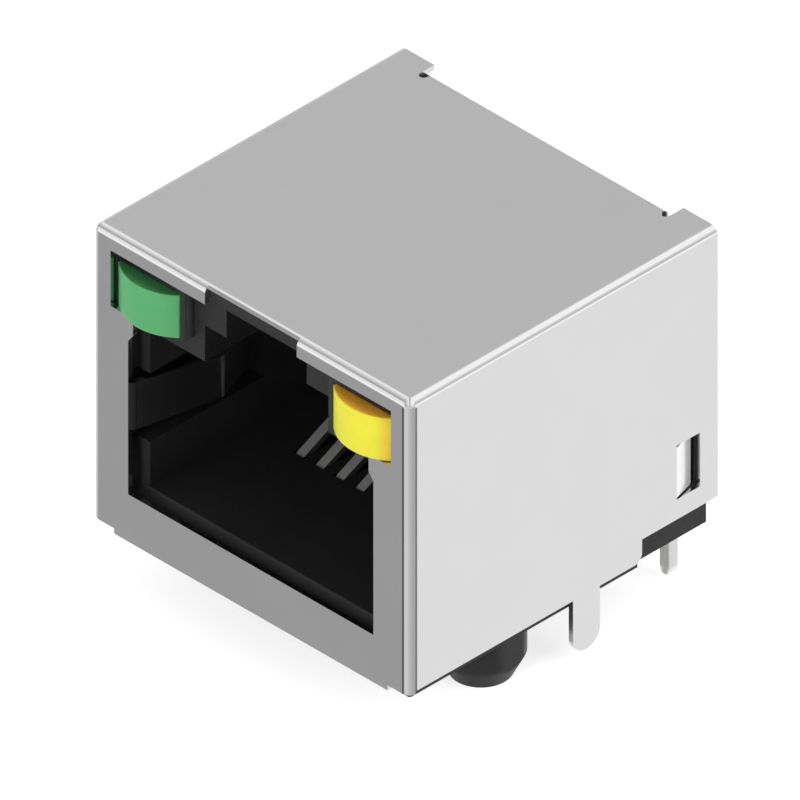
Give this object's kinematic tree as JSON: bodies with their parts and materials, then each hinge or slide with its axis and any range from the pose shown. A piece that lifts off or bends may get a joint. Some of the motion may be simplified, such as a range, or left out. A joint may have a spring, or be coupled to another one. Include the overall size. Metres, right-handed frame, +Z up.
{
  "type": "ethernet connector",
  "caption": "Shielded right-angle board jack for a network plug, with status lamps above the opening, locating pegs, solder tabs and board pins.",
  "frame": {"origin": "on the board's surface, midway between the axes of the two locating pegs", "axes": "+Z up, away from the board; -Y out of the plug opening; +X to the yellow lamp's side"},
  "size_m": [0.0162, 0.016, 0.0157],
  "materials": {
    "shield_metal": "bright nickel-plated brass sheet, smooth",
    "black_plastic": "fine moulded texture",
    "contact_metal": "plated spring bronze, dull grey",
    "lead_metal": "tinned",
    "green_lens": "dyed moulded epoxy, slightly glossy",
    "yellow_lens": "dyed moulded epoxy, slightly glossy"
  },
  "bodies": {
    "root": {"shield": "shield_metal", "housing": "black_plastic", "contact_carrier": "black_plastic", "contact_1": "contact_metal", "contact_2": "contact_metal", "contact_3": "contact_metal", "contact_4": "contact_metal", "contact_5": "contact_metal", "contact_6": "contact_metal", "contact_7": "contact_metal", "contact_8": "contact_metal", "lamp_green": "green_lens", "lamp_yellow": "yellow_lens", "lamp_green_lead_inner": "lead_metal", "lamp_green_lead_outer": "lead_metal", "lamp_yellow_lead_inner": "lead_metal", "lamp_yellow_lead_outer": "lead_metal"}
  },
  "joints": []
}
